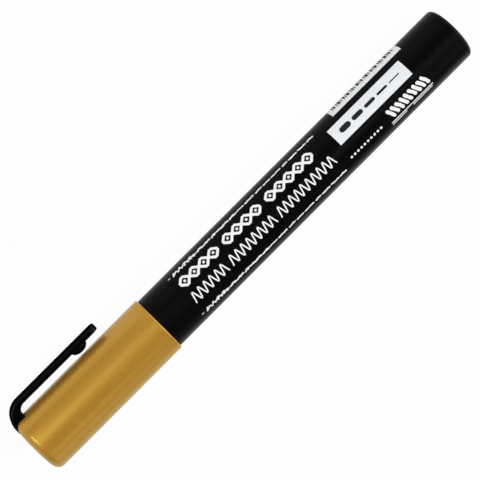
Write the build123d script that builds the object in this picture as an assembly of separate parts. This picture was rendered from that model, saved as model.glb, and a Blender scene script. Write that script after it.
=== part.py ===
from build123d import *
import math
import os

# Liquid chalk marker with a spring valve, capped and lying on a table. Millimetres.
# X runs along the marker's axis from the rear face (X = 0) to the cap's closed end, and Z is up.
# The cap's round wall and one edge of its clip touch the table.

# Barrel, one moulding that is closed at the rear
barrel_length = 102.2  # rear face to the shoulder that stops the cap
barrel_diameter = 15.0
rear_wall = 1.6
rear_edge_radius = 1.1
rear_bore_radius = 0.8
shoulder_radius = 0.2
neck_length = 9.0
neck_wall = 0.95
neck_lead_in = 0.4  # chamfer at the mouth of the bore
bead_count = 2  # rings on the neck that grip the cap
bead_width = 1.2
bead_flat = 0.6  # flat top of a ring

# Nose, pressed into the neck
plug_length = 10.0
plug_wall = 0.88
flange_length = 1.5
flange_radius = 0.5
land_length = 7.0  # round land that the cap liner seals on
cone_step = 0.3  # land to the wide end of the cone
tip_wall = 1.05
tip_radius = 0.5
nib_guide_length = 3.0
rib_count = 6  # ribs that centre the nib and leave ink channels
rib_width = 0.9
rib_height = 0.75
rib_setback = 3.0  # valve seat to the ribs
valve_bore_depth = 11.0

# Nib
nib_diameter = 5.0
nib_reach = 5.5  # how far it stands out of the nose
nib_travel = 2.0
nib_taper_length = 4.2
nib_point_diameter = 2.6
nib_point_radius = 1.1
nib_stop_gap = 0.3  # nib to valve seat at full travel

# Valve
seat_thickness = 2.5
seat_hole_diameter = 3.6
seat_cone_depth = 0.9
cage_length = 14.7
cage_wall = 0.9
cage_rear_wall = 1.2
window_count = 3  # ink ports in the cage's side
window_width = 2.6
window_length = 4.0
window_setback = 1.6  # rear of the cage to its ports
stem_pin_diameter = 2.6
stem_head_diameter = 4.8
stem_head_length = 1.5
stem_post_diameter = 2.3
stem_post_inset = 0.2  # rear of the cage to the end of the post
spring_wire = 0.45
spring_diameter = 3.7  # at the middle of the wire
spring_turns = 7
points_per_quarter = 8  # places where the gap between coils is measured

# Mixing ball, loose in the ink chamber
ball_diameter = 4.8

# Cap
cap_length = 42.6
cap_step = 0.5  # how far the cap stands out over the barrel
cap_wall = 1.0
cap_end_wall = 1.8
cap_end_radius = 2.1
cap_mouth_radius = 0.35
liner_seat_wall = 1.4  # thicker wall that holds the liner

# Cap liner, pressed into the cap
liner_wall = 0.65  # between its two fitting rings
liner_relief = 0.28  # how far the fitting rings stand out
liner_end_wall = 1.0
collar_length = 5.0
end_ring_length = 3.0
seal_setback = 1.4  # mouth of the liner to its seal
seal_width = 1.4
seal_height = 0.3

# Clip, an elbow whose barbed tongue snaps in behind the cap's end wall
clip_length = 31.1  # closed end of the cap to the tip
clip_proud = 0.15  # how far the elbow stands out past the closed end
clip_width = 5.0
clip_thickness = 1.6
clip_gap = 2.15  # cap wall to the arm
clip_outer_bend = 5.2
clip_inner_bend = 2.2
clip_edge_radius = 0.6
clip_inner_edge_radius = 0.3
clip_corner_radius = 1.9  # corners of the tip, seen from above
clip_tip_radius = 0.25
bump_setback = 6.5  # tip to the middle of the bump
bump_length = 4.8
bump_margin = 0.1  # flat left beside the bump
root_step = 0.1  # how far the root stands behind the tongue
foot_depth = 1.1  # how far the foot reaches into the end wall
tongue_length = 1.7
tongue_thickness = 1.55
barb_width = 0.5
barb_length = 1.2

# Clearances
press_gap = 0.02  # radial gap left at a press fit
slide_gap = 0.06  # cap on its neck rings
neck_gap = 0.25  # cap to the neck between the rings
seal_gap = 0.05  # cap liner on the nose's land
guide_gap = 0.05  # nib and stem in their guides
valve_gap = 0.05  # closed stem to seat, nib and spring
stop_gap = 0.05  # cap mouth to the barrel's shoulder
liner_mouth_gap = 0.5  # nose flange to the liner
nib_room = 5.6  # point of the nib to the end of the liner
bump_gap = 0.55  # cap wall to the clip's bump
clip_slot_gap = 0.2  # room for the clip to flex in its slot
tongue_gap = 0.25  # tongue to the cap's end wall
tongue_flex_gap = 0.4  # tongue to the liner's end
ball_gap = 0.05

# Places along X
neck_end = barrel_length + neck_length
plug_start = neck_end - plug_length
flange_end = neck_end + flange_length
land_end = flange_end + land_length
valve_front = plug_start + valve_bore_depth
seat_rear = valve_front - seat_thickness
cage_rear = seat_rear - cage_length
nib_rear = valve_front + nib_travel + nib_stop_gap
cap_mouth = barrel_length + stop_gap
cap_end = barrel_length + cap_length
cap_inner_end = cap_end - cap_end_wall
liner_mouth = flange_end + liner_mouth_gap
tongue_front = cap_inner_end - tongue_gap
tongue_rear = tongue_front - tongue_thickness
liner_end = tongue_rear - tongue_flex_gap
nib_end = liner_end - liner_end_wall - nib_room
nose_end = nib_end - nib_reach
clip_root = tongue_rear - root_step
clip_tip = cap_end - clip_length
clip_end = cap_end + clip_proud

# Radii shared by pieces that fit together
barrel_radius = barrel_diameter / 2
cap_radius = barrel_radius + cap_step
cap_bore_radius = cap_radius - cap_wall
neck_radius = cap_bore_radius - neck_gap
bead_radius = cap_bore_radius - slide_gap
bore_radius = neck_radius - neck_wall
plug_radius = bore_radius - press_gap
valve_bore_radius = plug_radius - plug_wall
nib_radius = nib_diameter / 2
nib_guide_radius = nib_radius + guide_gap
nib_chamber_radius = nib_guide_radius + rib_height
valve_radius = valve_bore_radius - press_gap
cage_bore_radius = valve_radius - cage_wall
seat_hole_radius = seat_hole_diameter / 2
stem_pin_radius = stem_pin_diameter / 2
stem_head_radius = stem_head_diameter / 2
stem_post_radius = stem_post_diameter / 2
liner_seat_radius = cap_radius - liner_seat_wall
liner_fit_radius = liner_seat_radius - press_gap
liner_radius = liner_fit_radius - liner_relief
liner_bore_radius = liner_radius - liner_wall
seal_radius = liner_bore_radius - seal_height
land_radius = seal_radius - seal_gap
clip_inner = cap_radius + clip_gap
clip_outer = clip_inner + clip_thickness
clip_root_bottom = liner_seat_radius - clip_slot_gap
clip_foot = clip_root_bottom - foot_depth
tongue_end = clip_foot - tongue_length

# The clip points down to one side, turned until its edge meets the table that the cap lies on.
clip_edge_offset = clip_width / 2 - clip_edge_radius
clip_edge_reach = clip_outer - clip_edge_radius
clip_dip = math.degrees(
    math.asin((cap_radius - clip_edge_radius) / math.hypot(clip_edge_reach, clip_edge_offset))
    - math.atan2(clip_edge_offset, clip_edge_reach)
)
clip_turn = Rot(X=90 + clip_dip)  # carries a clip built along +Z to its place


def turned(*corners):
    """Solid turned about X from corners (x, radius) or (x, radius, rounding)."""
    points = [corner[:2] for corner in corners]
    rounding = [corner[2] if len(corner) > 2 else 0 for corner in corners]
    outline = FilletPolyline(*points, radius=rounding, close=True)
    return revolve(make_face(outline), Axis.X)


def block(low, high):
    """Box between two corners."""
    size = [b - a for a, b in zip(low, high)]
    return Pos(*low) * Box(*size, align=(Align.MIN, Align.MIN, Align.MIN))


def around_axis(count):
    """Turns about X that spread copies evenly."""
    return [Rot(X=360 * i / count) for i in range(count)]


def make_barrel():
    body = turned(
        (0, 0),
        (0, barrel_radius, rear_edge_radius),
        (barrel_length, barrel_radius, shoulder_radius),
        (barrel_length, neck_radius),
        (neck_end, neck_radius),
        (neck_end, 0),
    )
    # The rings are spread evenly along the neck, and each is rooted in the middle of its wall.
    bead_root = neck_radius - neck_wall / 2
    for i in range(bead_count):
        middle = barrel_length + neck_length * (i + 1) / (bead_count + 1)
        body += turned(
            (middle - bead_width / 2, bead_root),
            (middle - bead_width / 2, neck_radius),
            (middle - bead_flat / 2, bead_radius),
            (middle + bead_flat / 2, bead_radius),
            (middle + bead_width / 2, neck_radius),
            (middle + bead_width / 2, bead_root),
        )
    return body - turned(
        (rear_wall, 0),
        (rear_wall, bore_radius, rear_bore_radius),
        (neck_end - neck_lead_in, bore_radius),
        (neck_end, bore_radius + neck_lead_in),
        (neck_end, 0),
    )


def make_nose():
    body = turned(
        (plug_start, 0),
        (plug_start, plug_radius),
        (neck_end, plug_radius),
        (neck_end, neck_radius),
        (flange_end, neck_radius, flange_radius),
        (flange_end, land_radius),
        (land_end, land_radius),
        (land_end, land_radius - cone_step),
        (nose_end, nib_guide_radius + tip_wall, tip_radius),
        (nose_end, 0),
    )
    guide_start = nose_end - nib_guide_length
    body -= turned(
        (plug_start, 0),
        (plug_start, valve_bore_radius),
        (valve_front, valve_bore_radius),
        (valve_front, nib_chamber_radius),
        (guide_start, nib_chamber_radius),
        (guide_start, nib_guide_radius),
        (nose_end, nib_guide_radius),
        (nose_end, 0),
    )
    # Each rib runs into the chamber's wall by half its own width.
    rib = block(
        (valve_front + rib_setback, -rib_width / 2, nib_guide_radius),
        (guide_start, rib_width / 2, nib_chamber_radius + rib_width / 2),
    )
    for turn in around_axis(rib_count):
        body += turn * rib
    return body


def make_nib():
    return turned(
        (nib_rear, 0),
        (nib_rear, nib_radius),
        (nib_end - nib_taper_length, nib_radius),
        (nib_end, nib_point_diameter / 2, nib_point_radius),
        (nib_end, 0),
    )


def make_valve_seat():
    return turned(
        (seat_rear, seat_hole_radius + seat_cone_depth),
        (seat_rear, valve_radius),
        (valve_front, valve_radius),
        (valve_front, seat_hole_radius),
        (seat_rear + seat_cone_depth, seat_hole_radius),
    )


def make_valve_cage():
    guide_radius = stem_post_radius + guide_gap
    body = turned(
        (cage_rear, guide_radius),
        (cage_rear, valve_radius),
        (seat_rear, valve_radius),
        (seat_rear, cage_bore_radius),
        (cage_rear + cage_rear_wall, cage_bore_radius),
        (cage_rear + cage_rear_wall, guide_radius),
    )
    window = block(
        (cage_rear + window_setback, -window_width / 2, stem_post_radius),
        (cage_rear + window_setback + window_length, window_width / 2, valve_bore_radius),
    )
    for turn in around_axis(window_count):
        body -= turn * window
    return body


# The seat's cone falls at 45 degrees, so X plus radius is the same all along it and along the stem's cone.
stem_cone_sum = seat_rear + seat_hole_radius + seat_cone_depth - valve_gap
stem_head_front = stem_cone_sum - stem_head_radius
stem_head_rear = stem_head_front - stem_head_length


def make_valve_stem():
    return turned(
        (cage_rear + stem_post_inset, 0),
        (cage_rear + stem_post_inset, stem_post_radius),
        (stem_head_rear, stem_post_radius),
        (stem_head_rear, stem_head_radius),
        (stem_head_front, stem_head_radius),
        (stem_cone_sum - stem_pin_radius, stem_pin_radius),
        (nib_rear - valve_gap, stem_pin_radius),
        (nib_rear - valve_gap, 0),
    )


def biarc(start, start_way, end, end_way):
    """Two arcs in a row that leave start along start_way and reach end along end_way."""
    chord = end - start
    both = start_way + end_way
    spread = 2 * (1 - start_way.dot(end_way))
    along = chord.dot(both)
    reach = (math.sqrt(along * along + spread * chord.dot(chord)) - along) / spread
    middle = (start + start_way * reach + end - end_way * reach) * 0.5
    first = TangentArc(start, middle, tangent=start_way)
    return [first, TangentArc(middle, end, tangent=first % 1)]


def make_valve_spring():
    coil_radius = spring_diameter / 2
    first = cage_rear + cage_rear_wall + valve_gap + spring_wire / 2
    last = stem_head_rear - valve_gap - spring_wire / 2
    rise = (last - first) / (2 * math.pi * spring_turns)
    quarters = 4 * spring_turns

    def coil(step):
        angle = math.pi / 2 * step
        place = Vector(first + rise * angle, coil_radius * math.cos(angle), coil_radius * math.sin(angle))
        way = Vector(rise, -coil_radius * math.sin(angle), coil_radius * math.cos(angle))
        return place, way.normalized()

    arcs = []
    for step in range(quarters):
        arcs += biarc(*coil(step), *coil(step + 1))
    path = Wire(arcs)
    steps = points_per_quarter * quarters
    places = [path @ (i / steps) for i in range(steps + 1)]
    half_turn = 2 * points_per_quarter
    gap = min((b - a).length for i, a in enumerate(places) for b in places[i + half_turn:]) - spring_wire
    print(f"valve spring: least gap between coils {gap:.2f} mm")
    return sweep(Plane(origin=path @ 0, z_dir=path % 0) * Circle(spring_wire / 2), path=path)


def make_mixing_ball():
    rest_x = rear_wall + ball_gap + ball_diameter / 2
    rest_z = ball_diameter / 2 + ball_gap - bore_radius
    return Pos(rest_x, 0, rest_z) * Sphere(ball_diameter / 2)


def make_cap_shell():
    body = turned(
        (cap_mouth, cap_bore_radius, cap_mouth_radius),
        (cap_mouth, cap_radius, cap_mouth_radius),
        (cap_end, cap_radius, cap_end_radius),
        (cap_end, 0),
        (cap_inner_end, 0),
        (cap_inner_end, liner_seat_radius),
        (liner_mouth, liner_seat_radius),
        (liner_mouth, cap_bore_radius),
    )
    half_slot = clip_width / 2 + clip_slot_gap
    slot = block(
        (clip_root - clip_slot_gap, -half_slot, clip_foot - clip_slot_gap),
        (clip_end + clip_slot_gap, half_slot, clip_outer),
    )
    return body - clip_turn * slot


def make_cap_liner():
    collar_end = liner_mouth + collar_length
    ring_start = liner_end - end_ring_length
    body = turned(
        (liner_mouth, liner_bore_radius),
        (liner_mouth, liner_fit_radius),
        (collar_end, liner_fit_radius),
        (collar_end, liner_radius),
        (ring_start, liner_radius),
        (ring_start, liner_fit_radius),
        (liner_end, liner_fit_radius),
        (liner_end, 0),
        (liner_end - liner_end_wall, 0),
        (liner_end - liner_end_wall, liner_bore_radius),
    )
    seal_start = liner_mouth + seal_setback
    return body + turned(
        (seal_start, liner_bore_radius + liner_wall / 2),
        (seal_start, liner_bore_radius),
        (seal_start + seal_height, seal_radius),
        (seal_start + seal_width - seal_height, seal_radius),
        (seal_start + seal_width, liner_bore_radius),
        (seal_start + seal_width, liner_bore_radius + liner_wall / 2),
    )


def rim(body, path):
    """Edges of body that run along path on both sides of the clip."""
    on_path = clip_inner_edge_radius / 100
    found = []
    for edge in body.edges():
        middle = edge.center()
        way = edge % 0.5
        if abs(way.Y) < 0.5 and path.distance_to(Vertex(middle.X, 0, middle.Z)) < on_path:
            found.append(edge)
    return found


def make_tip_waste():
    """What is cut from the arm's square end to leave its tip rounded."""
    reach = 2 * clip_corner_radius
    plan = Pos(clip_tip + reach, 0, clip_inner) * RectangleRounded(2 * reach, clip_width, clip_corner_radius)
    tip = extrude(plan, amount=clip_thickness)
    tip = fillet(tip.faces().filter_by(Axis.Z).edges(), clip_tip_radius)
    room = clip_thickness
    square = block(
        (clip_tip - room, -clip_width, clip_inner - room), (clip_tip + reach, clip_width, clip_outer + room)
    )
    return square - tip


def make_clip():
    """Built in the XZ plane with its arm above the cap, then turned to its place."""
    outer_path = FilletPolyline(
        (clip_end, clip_foot), (clip_end, clip_outer), (clip_tip, clip_outer), radius=clip_outer_bend
    )
    inner_path = FilletPolyline(
        (clip_tip, clip_inner), (clip_root, clip_inner), (clip_root, clip_root_bottom), radius=clip_inner_bend
    )
    foot_path = Polyline(
        (clip_root, clip_root_bottom),
        (tongue_rear, clip_root_bottom),
        (tongue_rear, tongue_end),
        (tongue_front, tongue_end),
        (tongue_front, clip_foot),
        (clip_end, clip_foot),
    )
    tip_path = Line((clip_tip, clip_outer), (clip_tip, clip_inner))
    outline = make_face(outer_path.edges() + tip_path.edges() + inner_path.edges() + foot_path.edges())
    body = extrude(Plane.XZ * outline, amount=clip_width / 2, both=True)
    body = fillet(rim(body, Plane.XZ * outer_path), clip_edge_radius)
    body = fillet(rim(body, Plane.XZ * inner_path), clip_inner_edge_radius)
    body -= make_tip_waste()
    half_width = clip_width / 2
    bump_reach = half_width - clip_inner_edge_radius - bump_margin
    bump = scale(Sphere(1), by=(bump_length / 2, bump_reach, clip_gap - bump_gap))
    bump = split(bump, Plane.XY, keep=Keep.BOTTOM)
    body += Pos(clip_tip + bump_setback, 0, clip_inner) * bump
    barb_top = tongue_end + barb_length
    barbs = Polyline(
        (-half_width, tongue_end),
        (half_width, tongue_end),
        (half_width + barb_width, barb_top),
        (-half_width - barb_width, barb_top),
        close=True,
    )
    section = Plane(origin=(tongue_rear, 0, 0), x_dir=(0, 1, 0), z_dir=(1, 0, 0))
    body += extrude(section * make_face(barbs), amount=tongue_thickness)
    return clip_turn * body


pieces = {
    "barrel": make_barrel(),
    "nose_section": make_nose(),
    "nib": make_nib(),
    "valve_seat": make_valve_seat(),
    "valve_cage": make_valve_cage(),
    "valve_stem": make_valve_stem(),
    "valve_spring": make_valve_spring(),
    "mixing_ball": make_mixing_ball(),
    "cap_shell": make_cap_shell(),
    "cap_liner": make_cap_liner(),
    "clip": make_clip(),
}
os.makedirs("parts", exist_ok=True)
for name, piece in pieces.items():
    export_step(piece, f"parts/{name}.step")
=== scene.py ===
"""Dresses a capped chalk marker: finishes, the print on its barrel and a small photo stage."""

import math
import random
from collections import namedtuple

import bmesh
import bpy
from bpy.props import FloatProperty, FloatVectorProperty, IntProperty, PointerProperty
from mathutils import Matrix, Vector


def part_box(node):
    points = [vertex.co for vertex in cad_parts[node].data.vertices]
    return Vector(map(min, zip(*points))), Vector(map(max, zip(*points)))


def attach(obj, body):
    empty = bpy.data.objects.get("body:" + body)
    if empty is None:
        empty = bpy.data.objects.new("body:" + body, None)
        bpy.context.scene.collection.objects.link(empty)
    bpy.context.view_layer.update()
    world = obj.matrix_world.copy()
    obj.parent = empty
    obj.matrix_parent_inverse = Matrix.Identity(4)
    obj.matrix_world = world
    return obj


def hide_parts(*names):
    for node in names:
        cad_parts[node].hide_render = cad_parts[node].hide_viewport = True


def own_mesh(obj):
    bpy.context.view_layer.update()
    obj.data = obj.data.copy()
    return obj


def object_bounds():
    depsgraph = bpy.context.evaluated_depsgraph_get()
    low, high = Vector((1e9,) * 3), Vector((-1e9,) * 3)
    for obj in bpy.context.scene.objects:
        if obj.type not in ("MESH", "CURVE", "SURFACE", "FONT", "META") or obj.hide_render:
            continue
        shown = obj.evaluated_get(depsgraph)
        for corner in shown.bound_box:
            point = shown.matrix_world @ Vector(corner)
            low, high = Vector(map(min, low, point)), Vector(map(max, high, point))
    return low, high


bl_info = {
    "name": "Chalk marker",
    "version": (1, 0, 0),
    "blender": (4, 5, 0),
    "location": "View3D > Sidebar > Marker",
    "description": "Finishes, barrel print and photo stage for a capped chalk marker",
    "category": "Object",
}

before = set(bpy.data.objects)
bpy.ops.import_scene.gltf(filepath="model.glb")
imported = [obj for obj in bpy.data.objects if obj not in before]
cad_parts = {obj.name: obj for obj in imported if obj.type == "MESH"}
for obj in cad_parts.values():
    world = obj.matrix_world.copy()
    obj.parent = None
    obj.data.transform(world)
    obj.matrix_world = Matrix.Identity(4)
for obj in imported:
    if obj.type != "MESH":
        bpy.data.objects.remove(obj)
CAD_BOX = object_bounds()
MM = 0.001

BARREL_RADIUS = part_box("barrel")[1].z
FLOOR_HEIGHT = CAD_BOX[0].z

# How deep the print's skin starts in the barrel's wall
INK_SUNK = 0.03 * MM
# How much each later stroke lies over the last, and after how many strokes that starts again
INK_LAP = 0.003 * MM
INK_LAPS = 5
# Widest step of a skin round the barrel
SKIN_STEP = math.radians(3)
# Steps along a stroke in half its width, and how blunt its ends are as a share of that half
STROKE_STEPS = 2.5
STROKE_BLUNT = 0.2
# Edges that bend more than this are shaded sharp
SHARP_ANGLE = math.radians(35)

# Width of a cell of dust, as a multiple of the speck's size
SPECK_SPACING = 14.0
# Sockets of the Mix node where it mixes colours
MIX_FACTOR, MIX_FIRST, MIX_SECOND, MIX_RESULT = 0, 6, 7, 2

# Soft lamps: where each aims along X, its direction from there, distance, width, height and radiance
Lamp = namedtuple("Lamp", "name aim direction distance width height radiance")
LAMPS = (
    Lamp("rear_near", 0.070, (-0.76, -0.42, 0.50), 0.70, 0.15, 0.15, 6.0),
    Lamp("rear_far", 0.070, (-0.75, 0.35, 0.56), 0.70, 0.80, 0.80, 1.0),
    Lamp("rear_top", 0.070, (-0.74, -0.05, 0.67), 0.70, 0.80, 0.80, 1.08),
    Lamp("front_top", 0.070, (0.74, -0.05, 0.67), 0.70, 0.80, 0.80, 0.32),
    Lamp("cap_near", 0.175, (0.0, -0.725, 0.689), 0.45, 0.24, 0.24, 1.0),
    Lamp("cap_top", 0.170, (0.0, 0.342, 0.940), 0.45, 0.12, 0.12, 1.1),
    Lamp("cap_far", 0.200, (0.0, 0.788, 0.616), 0.45, 0.22, 0.22, 0.85),
    Lamp("cap_end", 0.145, (0.41, -0.798, 0.442), 0.25, 0.09, 0.18, 5.0),
    Lamp("barrel_top", -0.020, (0.0, -0.342, 0.940), 0.45, 0.14, 0.14, 2.2),
    Lamp("rear_end_top", 0.0, (-0.91, 0.11, 0.40), 0.45, 0.20, 0.20, 3.0),
    Lamp("rear_end_side", 0.0, (-0.75, -0.65, 0.12), 0.45, 0.20, 0.20, 2.4),
)


def colour(name, description, default):
    """A linear colour that a user may change."""
    return FloatVectorProperty(
        name=name, description=description, default=default, size=3, min=0, max=1, subtype="COLOR"
    )


def length(name, description, default):
    """A length in metres."""
    return FloatProperty(
        name=name, description=description, default=default, unit="LENGTH", precision=5
    )


def span(name, description, low, high):
    """Two places along X, given in millimetres and held in metres."""
    return FloatVectorProperty(
        name=name, description=description, default=(low * MM, high * MM), size=2,
        unit="LENGTH", precision=5,
    )


def turn(name, description, degrees):
    """An angle about X, from the top towards the clip's side."""
    return FloatProperty(
        name=name, description=description, default=math.radians(degrees),
        unit="ROTATION", subtype="ANGLE",
    )


def turns(name, description, low, high):
    """Two angles about X, from the top towards the clip's side."""
    return FloatVectorProperty(
        name=name, description=description, default=(math.radians(low), math.radians(high)), size=2,
        unit="ROTATION",
    )


def share(name, description, default):
    """A number from 0 to 1."""
    return FloatProperty(
        name=name, description=description, default=default, min=0, max=1, subtype="FACTOR"
    )


def count(name, description, default):
    """How many of a thing there are."""
    return IntProperty(name=name, description=description, default=default, min=1)


class MarkerFinish(bpy.types.PropertyGroup):
    """Colours and gloss of the marker's materials."""

    barrel_black: colour("Barrel black", "Satin black of barrel and nose", (0.0010, 0.0010, 0.0012))
    clip_black: colour("Clip black", "Glossy black of the clip", (0.0010, 0.0010, 0.0012))
    gold: colour("Gold", "Gold paint of the cap", (0.48, 0.230, 0.028))
    gold_deep: colour("Deep gold", "Gold between the brighter flakes", (0.41, 0.184, 0.020))
    gold_sheen: colour("Gold sheen", "Yellow of the light that the gold throws back", (1.0, 0.85, 0.20))
    flake: length("Flake", "Size of a flake in the gold paint", 0.09 * MM)
    ink_white: colour("Ink white", "White of the print", (0.91, 0.91, 0.92))
    panel_white: colour("Panel white", "White of the panel and the bar block", (0.84, 0.86, 0.885))
    ink_black: colour("Ink black", "Black print on the panel and the bar block", (0.006, 0.006, 0.007))
    fibre: colour("Fibre", "Pressed fibre of the nib", (0.82, 0.80, 0.74))
    natural: colour("Natural plastic", "Uncoloured plastic of valve and liner", (0.77, 0.77, 0.74))
    steel: colour("Steel", "Bare steel of spring and ball", (0.58, 0.58, 0.59))


class MarkerPrint(bpy.types.PropertyGroup):
    """Places and sizes of the print on the barrel."""

    proud: length("Ink height", "How far the print stands proud of the barrel", 0.03 * MM)
    border_span: span("Border span", "Reach of the two chalk borders", 43.4, 93.4)
    border_angles: turns("Border angles", "Where the two chalk borders run", -9.3, 93.0)
    diamond_span: span("Diamond span", "Reach of the bold row of diamonds", 46.6, 92.6)
    diamond_angles: turns("Diamond angles", "Foot and head of the diamonds", 50.5, 78.0)
    diamond_width: length("Diamond width", "Width of a bold stroke", 0.70 * MM)
    wave_span: span("Wave span", "Reach of the thin wave", 43.8, 92.6)
    wave_angles: turns("Wave angles", "Trough and crest of the thin wave", 17.0, 40.0)
    wave_width: length("Wave width", "Width of the thin line", 0.36 * MM)
    panel_span: span("Panel span", "Reach of the white panel", 15.65, 40.5)
    panel_angles: turns("Panel angles", "Lower and upper edge of the white panel", 36.3, 74.9)
    block_span: span("Block span", "Reach of the bar block", 12.8, 36.55)
    block_angles: turns("Block angles", "Lower and upper edge of the bar block", 91.1, 165.0)
    dots_span: span("Dots span", "Reach of the dotted line", 29.9, 40.8)
    dots_angle: turn("Dots angle", "Where the dotted line runs", 4.0)
    dots: count("Dots", "Dots in the dotted line", 10)
    hatch_span: span("Hatch span", "Reach of the chalk hatching", 13.1, 27.4)
    hatch_angles: turns("Hatch angles", "Lower and upper reach of the hatching", -3.5, 25.1)
    hatch_strokes: count("Hatch strokes", "Strokes of the chalk hatching", 9)
    underline_angles: turns("Underline angles", "Where the hatching's two underlines run", -13.0, -8.0)


class MarkerStage(bpy.types.PropertyGroup):
    """Camera and light."""

    lens: FloatProperty(name="Lens", description="Focal length", default=154.57, unit="CAMERA")
    distance: length("Distance", "Camera to the point that it aims at", 0.50631)
    aim: length("Aim", "Place along the marker that the camera aims at", 0.073717)
    aim_shift: length("Aim shift", "How far the aim lies off the axis", 0.000452)
    look: turn("Look", "Where the camera stands about the axis", 41.396)
    tilt: turn("Tilt", "How far the camera stands towards the cap's end", 3.945)
    roll: turn("Roll", "Angle of the marker in the picture", 45.017)
    sky: share("Sky", "Strength of the even light from all round", 0.16)
    paper: colour("Paper", "White paper of the floor", (0.86, 0.86, 0.86))
    glow: share("Glow", "How far the paper shows plain white instead of its shading", 0.96)
    paper_reach: length("Paper reach", "Radius of the paper's flat part", 1.6)
    paper_rise: length("Paper rise", "Height that the paper curls up to at its rim", 0.7)


# Node helpers


def feed(tree, socket, value):
    """Links a socket to another one, or sets it to a plain value."""
    if isinstance(value, bpy.types.NodeSocket):
        tree.links.new(value, socket)
    elif socket.type == "RGBA" and len(value) == 3:
        socket.default_value = (*value, 1)
    else:
        socket.default_value = value


def add(tree, kind, inputs=None, **settings):
    """A new shader node with its settings made and its inputs fed."""
    node = tree.nodes.new("ShaderNode" + kind)
    for name, value in settings.items():
        setattr(node, name, value)
    for key, value in (inputs or {}).items():
        feed(tree, node.inputs[key], value)
    return node


def calc(tree, operation, first, second=0.0):
    """The result of a sum on two values."""
    return add(tree, "Math", {0: first, 1: second}, operation=operation).outputs[0]


def remap(tree, value, low, high, new_low=0.0, new_high=1.0):
    """A value carried smoothly from one range to another."""
    limits = {"Value": value, "From Min": low, "From Max": high, "To Min": new_low, "To Max": new_high}
    return add(tree, "MapRange", limits, interpolation_type="SMOOTHSTEP").outputs["Result"]


def mix(tree, factor, first, second):
    """A colour between two others."""
    made = {MIX_FACTOR: factor, MIX_FIRST: first, MIX_SECOND: second}
    return add(tree, "Mix", made, data_type="RGBA").outputs[MIX_RESULT]


def places(tree, stretch=(1, 1, 1)):
    """Places on the piece in metres, squeezed or stretched along the axes."""
    spot = add(tree, "TexCoord").outputs["Object"]
    return add(tree, "Mapping", {"Vector": spot, "Scale": stretch}).outputs["Vector"]


def noise(tree, scale, detail=2.0, stretch=(1, 1, 1)):
    """Soft noise over the piece, with a scale in waves per metre."""
    made = {"Vector": places(tree, stretch), "Scale": scale, "Detail": detail}
    return add(tree, "TexNoise", made).outputs[0]


def cells(tree, scale):
    """Cells over the piece: how far off a cell's middle is, and a number of each cell's own."""
    made = add(tree, "TexVoronoi", {"Vector": places(tree), "Scale": scale}).outputs
    return made["Distance"], add(tree, "SeparateColor", {"Color": made["Color"]}).outputs["Red"]


def per_metre(tree, size):
    """How many of a size go into a metre."""
    return calc(tree, "DIVIDE", 1.0, size)


def new_group(name, inputs, outputs):
    """A shader node group with number sockets, and its input and output nodes."""
    tree = bpy.data.node_groups.new(name, "ShaderNodeTree")
    for label, default in inputs.items():
        socket = tree.interface.new_socket(label, in_out="INPUT", socket_type="NodeSocketFloat")
        socket.default_value = default
    for label in outputs:
        tree.interface.new_socket(label, in_out="OUTPUT", socket_type="NodeSocketFloat")
    return tree, tree.nodes.new("NodeGroupInput").outputs, tree.nodes.new("NodeGroupOutput").inputs


def place_group(tree, builder, **inputs):
    """Places a shared group in a material, and builds it first if need be."""
    made = bpy.data.node_groups.get(builder.__name__) or builder()
    node = tree.nodes.new("ShaderNodeGroup")
    node.node_tree = made
    for name, value in inputs.items():
        feed(tree, node.inputs[name], value)
    return node.outputs


def uneven_gloss(tree, given, first, second):
    """A group's gloss, made uneven by two noises that add up to 1 on average."""
    uneven = calc(tree, "SUBTRACT", calc(tree, "ADD", first, second), 1.0)
    return calc(tree, "ADD", given["Gloss"], calc(tree, "MULTIPLY", uneven, given["Spread"]))


def moulded_grain():
    """The fine texture that a steel mould leaves on plastic, with uneven gloss."""
    inputs = {"Size": 0.2 * MM, "Gloss": 0.3, "Spread": 0.05}
    tree, given, result = new_group("moulded_grain", inputs, ("Height", "Roughness", "Tone"))
    fine = noise(tree, scale=per_metre(tree, given["Size"]), detail=3.0)
    broad = noise(tree, scale=140.0, detail=2.0)
    feed(tree, result["Height"], fine)
    feed(tree, result["Roughness"], uneven_gloss(tree, given, fine, broad))
    feed(tree, result["Tone"], broad)
    return tree


def handling_dust():
    """Sparse specks of dust and faint smears from fingers."""
    inputs = {"Amount": 0.2, "Speck": 0.06 * MM}
    tree, given, result = new_group("handling_dust", inputs, ("Dust", "Smear"))
    cell = calc(tree, "MULTIPLY", given["Speck"], SPECK_SPACING)
    distance, own = cells(tree, scale=per_metre(tree, cell))
    near = remap(tree, distance, low=0.05, high=0.09, new_low=1.0, new_high=0.0)
    chosen = remap(tree, own, low=0.72, high=0.78)
    specks = calc(tree, "MULTIPLY", near, chosen)
    feed(tree, result["Dust"], calc(tree, "MULTIPLY", specks, given["Amount"]))
    cloud = noise(tree, scale=260.0, detail=4.0, stretch=(0.45, 1, 1))
    smear = remap(tree, cloud, low=0.52, high=0.72)
    feed(tree, result["Smear"], calc(tree, "MULTIPLY", smear, given["Amount"]))
    return tree


def chalk_grain():
    """Where chalk or ink misses the low spots of what it is drawn on."""
    inputs = {"Size": 0.12 * MM, "Bare": 0.1}
    tree, given, result = new_group("chalk_grain", inputs, ("Cover", "Height"))
    lowest, rise, fade = 0.30, 0.3, 0.06
    fine = noise(tree, scale=per_metre(tree, given["Size"]), detail=4.0)
    edge = calc(tree, "ADD", lowest, calc(tree, "MULTIPLY", given["Bare"], rise))
    cover = remap(tree, fine, low=calc(tree, "SUBTRACT", edge, fade), high=edge)
    feed(tree, result["Cover"], cover)
    feed(tree, result["Height"], fine)
    return tree


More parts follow.
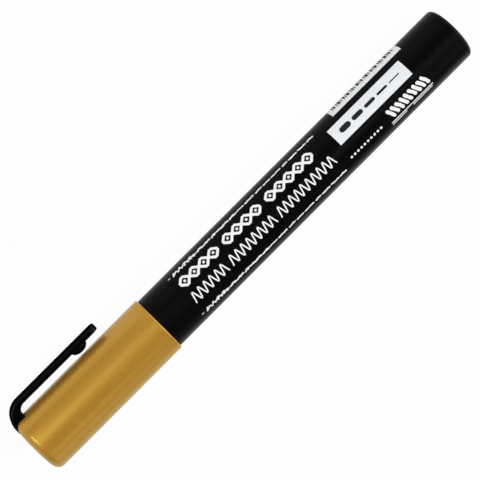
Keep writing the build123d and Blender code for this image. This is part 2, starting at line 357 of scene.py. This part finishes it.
def steel_scuffs():
    """Fine drag lines and small scuffs on bare steel."""
    inputs = {"Gloss": 0.2, "Spread": 0.1}
    tree, given, result = new_group("steel_scuffs", inputs, ("Height", "Roughness"))
    lines = noise(tree, scale=9000.0, detail=3.0, stretch=(0.12, 1, 1))
    scuffs = noise(tree, scale=900.0, detail=4.0)
    feed(tree, result["Height"], lines)
    feed(tree, result["Roughness"], uneven_gloss(tree, given, lines, scuffs))
    return tree


def material(name, values):
    """A new material whose shader holds the values given; gives material, tree and shader."""
    made = bpy.data.materials.new(name)
    made.use_nodes = True
    shader = made.node_tree.nodes["Principled BSDF"]
    for key, value in values.items():
        feed(made.node_tree, shader.inputs[key], value)
    return made, made.node_tree, shader


def bump(tree, shader, height, strength, depth):
    """Roughens a shader's normal by a height."""
    made = {"Height": height, "Strength": strength, "Distance": depth}
    feed(tree, shader.inputs["Normal"], add(tree, "Bump", made).outputs["Normal"])


def dress(made, *nodes):
    """Gives CAD nodes a material."""
    for node in nodes:
        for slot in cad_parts[node].material_slots:
            slot.material = made


# Materials


def shade(base, factor):
    """A colour made darker, or lighter where the factor is over 1."""
    return tuple(factor * part for part in base)


def soil(tree, shader, grain, paint, amount, dust, smear):
    """Lays specks of a dust's colour on a finish, and smears on its gloss."""
    soiled = place_group(tree, handling_dust, Amount=amount)
    feed(tree, shader.inputs["Base Color"], mix(tree, soiled["Dust"], paint, dust))
    duller = calc(tree, "MULTIPLY", soiled["Smear"], smear)
    feed(tree, shader.inputs["Roughness"], calc(tree, "ADD", grain["Roughness"], duller))


def black_plastic(name, base, gloss, spread, size, level, sheen=0.0):
    """Black moulded plastic; a sheen lies on faces that look this way and fades at grazing angles."""
    made, tree, shader = material(name, {"Specular IOR Level": level, "Coat Roughness": gloss})
    if sheen:
        grazing = add(tree, "LayerWeight", {"Blend": 0.5}).outputs["Facing"]
        coat = remap(tree, grazing, low=0.2, high=0.7, new_low=sheen, new_high=0.0)
        feed(tree, shader.inputs["Coat Weight"], coat)
    grain = place_group(tree, moulded_grain, Size=size, Gloss=gloss, Spread=spread)
    plain = mix(tree, grain["Tone"], base, shade(base, 1.5))
    soil(tree, shader, grain, plain, amount=0.25, dust=(0.08, 0.08, 0.08), smear=0.15)
    bump(tree, shader, grain["Height"], strength=0.12, depth=0.01 * MM)
    return made


def gold_paint(finish):
    """Satin gold paint full of fine metal flakes."""
    values = {"Metallic": 0.15, "IOR": 2.2, "Specular Tint": finish.gold_sheen}
    made, tree, shader = material("gold_paint", values)
    _, lit = cells(tree, scale=1 / finish.flake)
    grain = place_group(tree, moulded_grain, Size=0.35 * MM, Gloss=0.30, Spread=0.08)
    paint = mix(tree, lit, finish.gold_deep, finish.gold)
    soil(tree, shader, grain, paint, amount=0.2, dust=(0.5, 0.4, 0.2), smear=0.2)
    bump(tree, shader, lit, strength=0.06, depth=0.02 * MM)
    return made


def natural_plastic(name, base, gloss):
    """Uncoloured plastic, a little cloudy."""
    made, tree, shader = material(name, {"Specular IOR Level": 0.45})
    grain = place_group(tree, moulded_grain, Size=0.3 * MM, Gloss=gloss, Spread=0.08)
    feed(tree, shader.inputs["Base Color"], mix(tree, grain["Tone"], shade(base, 0.88), base))
    feed(tree, shader.inputs["Roughness"], grain["Roughness"])
    bump(tree, shader, grain["Height"], strength=0.15, depth=0.02 * MM)
    return made


def nib_fibre(base):
    """Pressed fibres that run along the nib."""
    made, tree, shader = material("nib_fibre", {"Specular IOR Level": 0.2, "Roughness": 0.9})
    strands = noise(tree, scale=7000.0, detail=3.0, stretch=(0.08, 1, 1))
    feed(tree, shader.inputs["Base Color"], mix(tree, strands, shade(base, 0.72), base))
    bump(tree, shader, strands, strength=0.5, depth=0.05 * MM)
    return made


def bare_steel(name, base, gloss, spread):
    """Bare steel, drawn or polished."""
    made, tree, shader = material(name, {"Metallic": 1.0})
    scuffs = place_group(tree, steel_scuffs, Gloss=gloss, Spread=spread)
    feed(tree, shader.inputs["Base Color"], mix(tree, scuffs["Height"], shade(base, 0.8), base))
    feed(tree, shader.inputs["Roughness"], scuffs["Roughness"])
    bump(tree, shader, scuffs["Height"], strength=0.1, depth=0.01 * MM)
    return made


def ink(name, base, under, size, bare):
    """Printed or chalky ink, which lets a little of what is under it through."""
    found = bpy.data.materials.get(name)
    if found:
        return found
    made, tree, shader = material(name, {"Specular IOR Level": 0.25, "Roughness": 0.6})
    grain = place_group(tree, chalk_grain, Size=size, Bare=bare)
    feed(tree, shader.inputs["Base Color"], mix(tree, grain["Cover"], under, base))
    bump(tree, shader, grain["Height"], strength=0.2, depth=0.02 * MM)
    return made


def print_ink(finish):
    """White ink of the even marks."""
    return ink("print_ink", finish.ink_white, under=(0.45, 0.45, 0.46), size=0.10 * MM, bare=0.06)


def chalk_ink(finish):
    """White ink of the marks that look drawn with chalk."""
    return ink("chalk_ink", finish.ink_white, under=(0.10, 0.10, 0.10), size=0.16 * MM, bare=0.12)


def panel_ink(finish):
    """Cool white of the panel and the bar block."""
    return ink("panel_ink", finish.panel_white, under=(0.66, 0.68, 0.72), size=0.2 * MM, bare=0.2)


def dark_ink(finish):
    """Black ink on the panel and the bar block."""
    return ink("dark_ink", finish.ink_black, under=(0.02, 0.02, 0.022), size=0.1 * MM, bare=0.2)


# Print geometry: a place on the barrel is X and the arc length from the top towards the clip's side


def arc(angle):
    """Arc length on the barrel for an angle about X."""
    return BARREL_RADIUS * angle


def on_barrel(place, radius):
    """The point at a place on the barrel, carried out to a radius about X."""
    angle = place[1] / BARREL_RADIUS
    return Vector((place[0], -radius * math.sin(angle), radius * math.cos(angle)))


def skin(bm, rows, proud):
    """A closed skin over rows of places, from inside the barrel's wall to proud of it."""
    inner, outer = (
        [[bm.verts.new(on_barrel(place, BARREL_RADIUS + rise)) for place in row] for row in rows]
        for rise in (-INK_SUNK, proud)
    )
    last = len(rows) - 1
    end = len(rows[0]) - 1
    for i in range(last):
        for j in range(end):
            bm.faces.new((outer[i][j], outer[i + 1][j], outer[i + 1][j + 1], outer[i][j + 1]))
            bm.faces.new((inner[i][j], inner[i][j + 1], inner[i + 1][j + 1], inner[i + 1][j]))
    rim = [(i, 0) for i in range(last)] + [(last, j) for j in range(end)]
    rim += [(last - i, end) for i in range(last)] + [(0, end - j) for j in range(end)]
    for (i, j), (k, m) in zip(rim, rim[1:] + rim[:1]):
        bm.faces.new((outer[i][j], inner[i][j], inner[k][m], outer[k][m]))


def stray(rng, most):
    """A random step to one side or the other."""
    return rng.uniform(-1, 1) * most


def spaced(path, step):
    """Points at even steps along a path, its ends among them."""
    path = [Vector(point) for point in path]
    lengths = [(b - a).length for a, b in zip(path, path[1:])]
    steps = max(2, round(sum(lengths) / step))
    points = []
    run = 0
    start = 0.0
    for i in range(steps + 1):
        target = sum(lengths) * i / steps
        while run < len(lengths) - 1 and target > start + lengths[run]:
            start += lengths[run]
            run += 1
        points.append(path[run].lerp(path[run + 1], min(1.0, (target - start) / lengths[run])))
    return points


def stroke(bm, path, width, proud, ragged=0.0, rng=None):
    """A line along a path of places, round at both ends, with edges as ragged as chalk's."""
    half = width / 2
    points = spaced(path, half / STROKE_STEPS)
    columns = math.ceil(width / arc(SKIN_STEP))
    total = sum((b - a).length for a, b in zip(points, points[1:]))
    gone = 0.0
    rows = []
    for i, point in enumerate(points):
        before = points[max(i - 1, 0)]
        after = points[min(i + 1, len(points) - 1)]
        if i:
            gone += (point - before).length
        ahead = (after - before).normalized()
        side = Vector((-ahead.y, ahead.x))
        reach = max(0.0, min(gone, total - gone, half))
        open_half = max(math.sqrt(reach * (width - reach)), STROKE_BLUNT * half)
        left, right = (1 + stray(rng, ragged) if rng else 1.0 for _ in range(2))
        first, last = point - side * open_half * left, point + side * open_half * right
        rows.append([first.lerp(last, j / columns) for j in range(columns + 1)])
    skin(bm, rows, proud)


def panel(bm, reach, angles, proud):
    """A rectangle wrapped on the barrel."""
    steps = math.ceil((angles[1] - angles[0]) / SKIN_STEP)
    arcs = [arc(angles[0] + (angles[1] - angles[0]) * i / steps) for i in range(steps + 1)]
    skin(bm, [[(x, here) for x in reach] for here in arcs], proud)


def runs(reach, counts, gap, width):
    """Pitch of like marks that stand in runs with gaps between them, and where each run starts."""
    low, high = reach
    pitch = (high - low - gap * (len(counts) - 1) - width * len(counts)) / sum(counts)
    starts = [high - width / 2]
    for number in counts[:-1]:
        starts.append(starts[-1] - pitch * number - width - gap)
    return pitch, starts


def lap(layout, i):
    """How far stroke i stands proud, so that strokes that cross lie over each other."""
    return layout.proud + INK_LAP * (i % INK_LAPS)


def add_object(context, name, data):
    """A new object in the scene."""
    made = bpy.data.objects.new(name, data)
    context.scene.collection.objects.link(made)
    return made


def barrel_piece(context, name, bm, made):
    """Turns a filled bmesh into a piece that rides on the barrel."""
    bmesh.ops.recalc_face_normals(bm, faces=bm.faces)
    mesh = bpy.data.meshes.new(name)
    bm.to_mesh(mesh)
    bm.free()
    mesh.shade_smooth()
    mesh.set_sharp_from_angle(angle=SHARP_ANGLE)
    mesh.materials.append(made)
    piece = add_object(context, name, mesh)
    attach(piece, "barrel")
    return piece


# Operators


class MARKER_OT_barrel(bpy.types.Operator):
    """Finishes the barrel and the nose in satin black plastic"""

    bl_idname = "marker.barrel"
    bl_label = "Barrel and nose"

    def execute(self, context):
        base = context.scene.marker_finish.barrel_black
        made = black_plastic("satin_black", base, gloss=0.30, spread=0.06, size=0.22 * MM, level=0.06)
        dress(made, "barrel", "nose_section")
        return {"FINISHED"}


class MARKER_OT_cap(bpy.types.Operator):
    """Paints the cap gold and finishes the liner in it"""

    bl_idname = "marker.cap"
    bl_label = "Cap and liner"

    def execute(self, context):
        finish = context.scene.marker_finish
        dress(gold_paint(finish), "cap_shell")
        dress(natural_plastic("liner_plastic", finish.natural, gloss=0.4), "cap_liner")
        return {"FINISHED"}


class MARKER_OT_clip(bpy.types.Operator):
    """Finishes the pocket clip in glossy black plastic"""

    bl_idname = "marker.clip"
    bl_label = "Pocket clip"

    def execute(self, context):
        base = context.scene.marker_finish.clip_black
        made = black_plastic(
            "gloss_black", base, gloss=0.10, spread=0.04, size=0.5 * MM, level=0.0, sheen=0.14
        )
        dress(made, "clip")
        return {"FINISHED"}


class MARKER_OT_nib(bpy.types.Operator):
    """Finishes the nib in pressed fibre"""

    bl_idname = "marker.nib"
    bl_label = "Nib"

    def execute(self, context):
        dress(nib_fibre(context.scene.marker_finish.fibre), "nib")
        return {"FINISHED"}


class MARKER_OT_valve(bpy.types.Operator):
    """Finishes the valve's plastic pieces and the mixing ball"""

    bl_idname = "marker.valve"
    bl_label = "Valve and mixing ball"

    def execute(self, context):
        finish = context.scene.marker_finish
        made = natural_plastic("valve_plastic", finish.natural, gloss=0.35)
        dress(made, "valve_seat", "valve_cage", "valve_stem")
        dress(bare_steel("polished_ball", finish.steel, gloss=0.10, spread=0.08), "mixing_ball")
        return {"FINISHED"}


class MARKER_OT_spring(bpy.types.Operator):
    """Winds the valve's spring, which shortens as the nib is pressed in"""

    bl_idname = "marker.spring"
    bl_label = "Valve spring"

    WIRE = 0.45 * MM
    TURNS = 7
    TURN_STEPS = 40
    SIDES = 14

    def wind(self, low, high):
        """A coil of round wire that fills a box along X."""
        half = self.WIRE / 2
        radius = high.z - half
        rise = (high.x - low.x - self.WIRE) / (2 * math.pi * self.TURNS)
        around = [2 * math.pi * j / self.SIDES for j in range(self.SIDES)]
        bm = bmesh.new()
        rings = []
        for i in range(self.TURNS * self.TURN_STEPS + 1):
            angle = 2 * math.pi * i / self.TURN_STEPS
            out = Vector((0, math.cos(angle), math.sin(angle)))
            ahead = Vector((rise, -radius * out.z, radius * out.y)).normalized()
            across = ahead.cross(out)
            place = out * radius + Vector((low.x + half + rise * angle, 0, 0))
            rings.append([
                bm.verts.new(place + (out * math.cos(t) + across * math.sin(t)) * half) for t in around
            ])
        for first, second in zip(rings, rings[1:]):
            for j in range(self.SIDES):
                k = (j + 1) % self.SIDES
                bm.faces.new((first[j], first[k], second[k], second[j]))
        bm.faces.new(rings[0])
        bm.faces.new(rings[-1])
        return bm

    def execute(self, context):
        low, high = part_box("valve_spring")
        made = bare_steel("spring_wire", context.scene.marker_finish.steel, gloss=0.28, spread=0.2)
        coil = barrel_piece(context, "spring_coil", self.wind(low, high), made)
        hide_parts("valve_spring")
        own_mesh(coil)
        return {"FINISHED"}


# Stretch of a border: share of its length, then its strokes' sizes, leans in degrees, width and paces
Stretch = namedtuple("Stretch", "share sizes leans width paces")


class MARKER_OT_borders(bpy.types.Operator):
    """Draws the two rough chalk borders along the barrel"""

    bl_idname = "marker.borders"
    bl_label = "Chalk borders"

    SEED = 11
    KINK = 0.40 * MM
    WANDER = 0.11 * MM
    RAGGED = 0.32
    UNEVEN = (0.8, 1.15)
    SHORTEST = 0.3 * MM
    # From the cap's end on
    STRETCHES = (
        Stretch(0.03, (0.7 * MM, 0.9 * MM), (0, 4), 0.24 * MM, (1.9, 2.1)),
        Stretch(0.14, (1.3 * MM, 2.0 * MM), (32, 62), 0.42 * MM, (0.45, 0.70)),
        Stretch(0.29, (0.8 * MM, 1.6 * MM), (10, 36), 0.56 * MM, (0.70, 1.15)),
        Stretch(0.54, (1.8 * MM, 4.6 * MM), (0, 2), 0.48 * MM, (1.04, 1.14)),
    )

    def draw_border(self, bm, layout, angle):
        """One border: a scribble by the cap, which thins out to a broken line."""
        rng = random.Random(self.SEED)
        low, high = layout.border_span
        middle = arc(angle)
        laid = 0
        x = stop = high
        for stretch in self.STRETCHES:
            stop -= stretch.share * (high - low)
            while x - self.SHORTEST > stop:
                size = min(rng.uniform(*stretch.sizes), x - low)
                lean = math.radians(rng.choice((-1, 1)) * rng.uniform(*stretch.leans))
                run, rise = size * math.cos(lean), size * math.sin(lean)
                kinks = max(2, round(size / self.KINK))
                path = []
                for i in range(kinks + 1):
                    here = middle + rise * (0.5 - i / kinks) + stray(rng, self.WANDER)
                    path.append((x - run * i / kinks, here))
                width = stretch.width * rng.uniform(*self.UNEVEN)
                stroke(bm, path, width, lap(layout, laid), self.RAGGED, rng)
                x -= run * rng.uniform(*stretch.paces)
                laid += 1

    def execute(self, context):
        layout = context.scene.marker_print
        made = chalk_ink(context.scene.marker_finish)
        for name, angle in zip(("border_lower", "border_upper"), layout.border_angles):
            bm = bmesh.new()
            self.draw_border(bm, layout, angle)
            barrel_piece(context, name, bm, made)
        return {"FINISHED"}


class MARKER_OT_diamonds(bpy.types.Operator):
    """Draws the bold row of diamonds, linked in runs"""

    bl_idname = "marker.diamonds"
    bl_label = "Diamond row"

    SEED = 5
    COUNTS = (4, 4, 5)
    GAP = 1.05 * MM
    SWAY = 0.05 * MM
    RAGGED = 0.06
    DOT = 0.72 * MM
    # Laps that the strokes of every second diamond are shifted by
    LIFT = 2

    def execute(self, context):
        layout = context.scene.marker_print
        rng = random.Random(self.SEED)
        width = layout.diamond_width
        foot, head = (arc(angle) for angle in layout.diamond_angles)
        middle = (foot + head) / 2
        pitch, starts = runs(layout.diamond_span, self.COUNTS, self.GAP, width)
        across, up = pitch / 2, (head - foot - width) / 2
        bm = bmesh.new()
        for start, number in zip(starts, self.COUNTS):
            for i in range(number):
                x = start - pitch * (i + 0.5)
                corners = (
                    (x + across, middle),
                    (x, middle + up),
                    (x - across, middle),
                    (x, middle - up),
                )
                corners = [[part + stray(rng, self.SWAY) for part in corner] for corner in corners]
                for j, corner in enumerate(corners):
                    side = (corner, corners[(j + 1) % len(corners)])
                    stroke(bm, side, width, lap(layout, j + self.LIFT * (i % 2)), self.RAGGED, rng)
                dot = ((x + self.DOT / 2, middle), (x - self.DOT / 2, middle))
                stroke(bm, dot, self.DOT, layout.proud)
        barrel_piece(context, "diamond_row", bm, print_ink(context.scene.marker_finish))
        return {"FINISHED"}


class MARKER_OT_wave(bpy.types.Operator):
    """Draws the thin wave under the diamonds, in runs"""

    bl_idname = "marker.wave"
    bl_label = "Wave row"

    COUNTS = (6, 8, 10)
    GAP = 0.9 * MM
    POINTS = 24

    def execute(self, context):
        layout = context.scene.marker_print
        width = layout.wave_width
        trough, crest = (arc(angle) for angle in layout.wave_angles)
        middle, swing = (crest + trough) / 2, (crest - trough - width) / 2
        pitch, starts = runs(layout.wave_span, self.COUNTS, self.GAP, width)
        bm = bmesh.new()
        for start, number in zip(starts, self.COUNTS):
            path = []
            for i in range(number * self.POINTS + 1):
                here = middle - swing * math.cos(2 * math.pi * i / self.POINTS)
                path.append((start - pitch * i / self.POINTS, here))
            stroke(bm, path, width, layout.proud)
        barrel_piece(context, "wave_row", bm, print_ink(context.scene.marker_finish))
        return {"FINISHED"}


class MARKER_OT_white_panel(bpy.types.Operator):
    """Lays the white panel and the plain line-width sample on it"""

    bl_idname = "marker.white_panel"
    bl_label = "White panel"

    MARGIN = 2.2 * MM
    WIDTHS = (0.30 * MM, 1.50 * MM)
    SAMPLES = 5
    GAP = 0.8 * MM

    def execute(self, context):
        layout = context.scene.marker_print
        finish = context.scene.marker_finish
        low, high = layout.panel_span
        bm = bmesh.new()
        panel(bm, (low, high), layout.panel_angles, layout.proud)
        barrel_piece(context, "white_panel", bm, panel_ink(finish))
        bm = bmesh.new()
        middle = arc(sum(layout.panel_angles) / 2)
        long = (high - low - 2 * self.MARGIN - self.GAP * (self.SAMPLES - 1)) / self.SAMPLES
        for i in range(self.SAMPLES):
            width = self.WIDTHS[1] + (self.WIDTHS[0] - self.WIDTHS[1]) * i / (self.SAMPLES - 1)
            start = high - self.MARGIN - (long + self.GAP) * i
            path = ((start, middle), (start - long, middle))
            stroke(bm, path, width, layout.proud + INK_SUNK)
        barrel_piece(context, "width_sample", bm, dark_ink(finish))
        return {"FINISHED"}


class MARKER_OT_bar_block(bpy.types.Operator):
    """Lays the white block and the plain bars on it"""

    bl_idname = "marker.bar_block"
    bl_label = "Bar block"

    MARGIN = 1.3 * MM
    MODULE = 0.26 * MM
    BARS = (1, 2, 1, 3)
    GAPS = (1, 2, 1)
    INSET = (math.radians(15), math.radians(6))

    def execute(self, context):
        layout = context.scene.marker_print
        finish = context.scene.marker_finish
        low, high = layout.block_span
        foot, head = layout.block_angles
        bm = bmesh.new()
        panel(bm, (low, high), (foot, head), layout.proud)
        barrel_piece(context, "bar_block", bm, panel_ink(finish))
        bm = bmesh.new()
        x = high - self.MARGIN
        i = 0
        while True:
            end = x - self.MODULE * self.BARS[i % len(self.BARS)]
            if end < low + self.MARGIN:
                break
            panel(bm, (end, x), (foot + self.INSET[0], head - self.INSET[1]), layout.proud + INK_SUNK)
            x = end - self.MODULE * self.GAPS[i % len(self.GAPS)]
            i += 1
        barrel_piece(context, "bars", bm, dark_ink(finish))
        return {"FINISHED"}


class MARKER_OT_dots(bpy.types.Operator):
    """Draws the small dotted line"""

    bl_idname = "marker.dots"
    bl_label = "Dotted line"

    WIDTH = 0.70 * MM

    def execute(self, context):
        layout = context.scene.marker_print
        low, high = layout.dots_span
        middle = arc(layout.dots_angle)
        bm = bmesh.new()
        for i in range(layout.dots):
            x = low + (high - low - self.WIDTH) * i / (layout.dots - 1)
            stroke(bm, ((x, middle), (x + self.WIDTH, middle)), self.WIDTH, layout.proud)
        barrel_piece(context, "dotted_line", bm, print_ink(context.scene.marker_finish))
        return {"FINISHED"}


class MARKER_OT_hatch(bpy.types.Operator):
    """Draws the patch of chalk hatching and its underlines"""

    bl_idname = "marker.hatch"
    bl_label = "Chalk hatching"

    SEED = 3
    WIDTH = 0.90 * MM
    LEAN = 1.5 * MM
    SWAY = 0.14 * MM
    RAGGED = 0.16
    # Share of the lean that is left half way down a stroke
    BEND = 0.45
    LINE_WIDTH = 0.34 * MM
    LINE_RAGGED = 0.35
    # Ends of each underline as shares of the hatching's reach, and its row
    LINE_PARTS = (((0.0, 1.0), 1), ((0.0, 0.35), 0), ((0.5, 0.97), 0))

    def execute(self, context):
        layout = context.scene.marker_print
        rng = random.Random(self.SEED)
        low, high = layout.hatch_span
        foot, head = (arc(angle) for angle in layout.hatch_angles)
        half = self.WIDTH / 2
        pitch = (high - low - self.WIDTH - self.LEAN) / (layout.hatch_strokes - 1)
        spine = ((1.0, head - half), (self.BEND, (head + foot) / 2), (0.0, foot + half))
        bm = bmesh.new()
        for i in range(layout.hatch_strokes):
            top = high - half - self.LEAN - pitch * i
            path = [
                (top + self.LEAN * part + stray(rng, self.SWAY), here + stray(rng, self.SWAY))
                for part, here in spine
            ]
            stroke(bm, path, self.WIDTH, lap(layout, i), self.RAGGED, rng)
        barrel_piece(context, "chalk_hatch", bm, chalk_ink(context.scene.marker_finish))
        bm = bmesh.new()
        for i, (ends, row) in enumerate(self.LINE_PARTS):
            path = [(high + (low - high) * part, arc(layout.underline_angles[row])) for part in ends]
            stroke(bm, path, self.LINE_WIDTH, lap(layout, i), self.LINE_RAGGED, rng)
        barrel_piece(context, "underlines", bm, chalk_ink(context.scene.marker_finish))
        return {"FINISHED"}


class MARKER_OT_fine_rows(bpy.types.Operator):
    """Draws the two blocks of fine dashes on the far side"""

    bl_idname = "marker.fine_rows"
    bl_label = "Fine rows"

    SEED = 21
    SPANS = ((59.6 * MM, 65.7 * MM), (83.2 * MM, 89.2 * MM))
    FIRST = math.radians(127)
    STEP = math.radians(7)
    ROWS = 6
    WIDTH = 0.32 * MM
    DASH = (0.5 * MM, 1.9 * MM)
    GAP = 0.28 * MM

    def execute(self, context):
        layout = context.scene.marker_print
        rng = random.Random(self.SEED)
        bm = bmesh.new()
        for low, high in self.SPANS:
            for row in range(self.ROWS):
                here = arc(self.FIRST + self.STEP * row)
                x = high
                while x - self.DASH[0] > low:
                    end = max(low, x - rng.uniform(*self.DASH))
                    stroke(bm, ((x, here), (end, here)), self.WIDTH, layout.proud)
                    x = end - self.GAP
        barrel_piece(context, "fine_rows", bm, print_ink(context.scene.marker_finish))
        return {"FINISHED"}


class MARKER_OT_stage(bpy.types.Operator):
    """Adds the paper, the card, the lamps, the world and the camera"""

    bl_idname = "marker.stage"
    bl_label = "Stage"

    PAPER_SIDES = 64
    CURL_STEPS = 8
    CARD_REACH = (0.103, 0.240)
    CARD_DISTANCE = 0.045
    CARD_HEIGHT = 0.019
    CARD_GREY = (0.65, 0.65, 0.65)

    def lay_paper(self, context, stage):
        """A round sheet of white paper that curls up at its rim."""
        bm = bmesh.new()
        profile = [(stage.paper_reach, 0.0)]
        for i in range(1, self.CURL_STEPS + 1):
            turned = math.pi / 2 * i / self.CURL_STEPS
            rise = stage.paper_rise * (1 - math.cos(turned))
            profile.append((stage.paper_reach + stage.paper_rise * math.sin(turned), rise))
        around = [2 * math.pi * j / self.PAPER_SIDES for j in range(self.PAPER_SIDES)]
        rings = []
        for radius, rise in profile:
            height = FLOOR_HEIGHT + rise
            rings.append([
                bm.verts.new((radius * math.cos(t), radius * math.sin(t), height)) for t in around
            ])
        flat = bm.faces.new(rings[0])
        for first, second in zip(rings, rings[1:]):
            for j in range(self.PAPER_SIDES):
                k = (j + 1) % self.PAPER_SIDES
                bm.faces.new((first[j], second[j], second[k], first[k]))
        for face in bm.faces:
            face.smooth = face is not flat
        mesh = bpy.data.meshes.new("paper")
        bm.to_mesh(mesh)
        bm.free()
        floor = add_object(context, "paper", mesh)
        made, tree, shader = material("white_paper", {"Base Color": stage.paper, "Roughness": 0.85})
        path = add(tree, "LightPath").outputs
        seen = calc(tree, "MAXIMUM", path["Is Camera Ray"], path["Is Glossy Ray"])
        seen = calc(tree, "MAXIMUM", seen, path["Is Transmission Ray"])
        white = add(tree, "Emission", {"Color": (1, 1, 1), "Strength": 1.0})
        shown = add(tree, "MixShader", {
            0: calc(tree, "MULTIPLY", seen, stage.glow), 1: shader.outputs[0], 2: white.outputs[0],
        })
        tree.links.new(shown.outputs[0], tree.nodes["Material Output"].inputs["Surface"])
        mesh.materials.append(made)

    def stand_card(self, context):
        """A grey card beside the cap, hidden from the camera, to dim the paper's image in the gold."""
        low, high = self.CARD_REACH
        top = FLOOR_HEIGHT + self.CARD_HEIGHT
        corners = ((low, FLOOR_HEIGHT), (high, FLOOR_HEIGHT), (high, top), (low, top))
        mesh = bpy.data.meshes.new("grey_card")
        mesh.from_pydata([(x, -self.CARD_DISTANCE, z) for x, z in corners], [], [(0, 1, 2, 3)])
        made, _, _ = material("grey_card", {"Base Color": self.CARD_GREY, "Roughness": 0.9})
        mesh.materials.append(made)
        card = add_object(context, "grey_card", mesh)
        card.visible_camera = False

    def hang_lamps(self, context):
        """Soft lamps that all face the marker's axis."""
        for lamp in LAMPS:
            data = bpy.data.lights.new(lamp.name, "AREA")
            data.shape = "RECTANGLE"
            data.size, data.size_y = lamp.width, lamp.height
            data.energy = math.pi * lamp.width * lamp.height * lamp.radiance
            hung = add_object(context, lamp.name, data)
            out = Vector(lamp.direction).normalized()
            hung.location = Vector((lamp.aim, 0, 0)) + out * lamp.distance
            hung.rotation_euler = out.to_track_quat("Z", "Y").to_euler()
            hung.visible_camera = False

    def set_camera(self, context, stage):
        """The camera, at the photograph's viewing angle."""
        radial = Vector((0, -math.sin(stage.look), math.cos(stage.look)))
        axis = Vector((1, 0, 0))
        back = math.cos(stage.tilt) * radial + math.sin(stage.tilt) * axis
        along = math.sin(stage.tilt) * radial - math.cos(stage.tilt) * axis
        across = back.cross(along)
        right = math.cos(stage.roll) * along - math.sin(stage.roll) * across
        up = math.sin(stage.roll) * along + math.cos(stage.roll) * across
        data = bpy.data.cameras.new("camera")
        data.lens = stage.lens
        camera = add_object(context, "camera", data)
        turned = Matrix((right, up, back)).transposed().to_4x4()
        place = axis * stage.aim + across * stage.aim_shift + back * stage.distance
        camera.matrix_world = Matrix.Translation(place) @ turned
        context.scene.camera = camera

    def set_world(self, context, stage):
        """Even white light from all round."""
        world = bpy.data.worlds.new("even_light")
        world.use_nodes = True
        light = world.node_tree.nodes["Background"].inputs
        light["Color"].default_value = (1, 1, 1, 1)
        light["Strength"].default_value = stage.sky
        context.scene.world = world

    def execute(self, context):
        stage = context.scene.marker_stage
        self.lay_paper(context, stage)
        self.stand_card(context)
        self.hang_lamps(context)
        self.set_camera(context, stage)
        self.set_world(context, stage)
        context.scene.view_settings.view_transform = "Standard"
        return {"FINISHED"}


OPERATORS = (
    MARKER_OT_barrel,
    MARKER_OT_cap,
    MARKER_OT_clip,
    MARKER_OT_nib,
    MARKER_OT_valve,
    MARKER_OT_spring,
    MARKER_OT_borders,
    MARKER_OT_diamonds,
    MARKER_OT_wave,
    MARKER_OT_white_panel,
    MARKER_OT_bar_block,
    MARKER_OT_dots,
    MARKER_OT_hatch,
    MARKER_OT_fine_rows,
    MARKER_OT_stage,
)


class MARKER_PT_tools(bpy.types.Panel):
    """Lists the marker's pieces and the values that they are made from"""

    bl_idname = "MARKER_PT_tools"
    bl_label = "Chalk marker"
    bl_space_type = "VIEW_3D"
    bl_region_type = "UI"
    bl_category = "Marker"

    def draw(self, context):
        for made in OPERATORS:
            self.layout.operator(made.bl_idname)
        scene = context.scene
        for values in (scene.marker_finish, scene.marker_print, scene.marker_stage):
            box = self.layout.box()
            for name in values.__annotations__:
                box.prop(values, name)


CLASSES = (MarkerFinish, MarkerPrint, MarkerStage, *OPERATORS, MARKER_PT_tools)


def register():
    """Makes the classes known to Blender and hangs their values on the scene."""
    for made in CLASSES:
        bpy.utils.register_class(made)
    bpy.types.Scene.marker_finish = PointerProperty(type=MarkerFinish)
    bpy.types.Scene.marker_print = PointerProperty(type=MarkerPrint)
    bpy.types.Scene.marker_stage = PointerProperty(type=MarkerStage)


def unregister():
    """Takes back what register did."""
    del bpy.types.Scene.marker_stage
    del bpy.types.Scene.marker_print
    del bpy.types.Scene.marker_finish
    for made in reversed(CLASSES):
        bpy.utils.unregister_class(made)


def main():
    """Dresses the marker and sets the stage."""
    register()
    bpy.ops.marker.barrel()
    bpy.ops.marker.cap()
    bpy.ops.marker.clip()
    bpy.ops.marker.nib()
    bpy.ops.marker.valve()
    bpy.ops.marker.spring()
    bpy.ops.marker.borders()
    bpy.ops.marker.diamonds()
    bpy.ops.marker.wave()
    bpy.ops.marker.white_panel()
    bpy.ops.marker.bar_block()
    bpy.ops.marker.dots()
    bpy.ops.marker.hatch()
    bpy.ops.marker.fine_rows()
    bpy.ops.marker.stage()


if __name__ == "__main__":
    main()
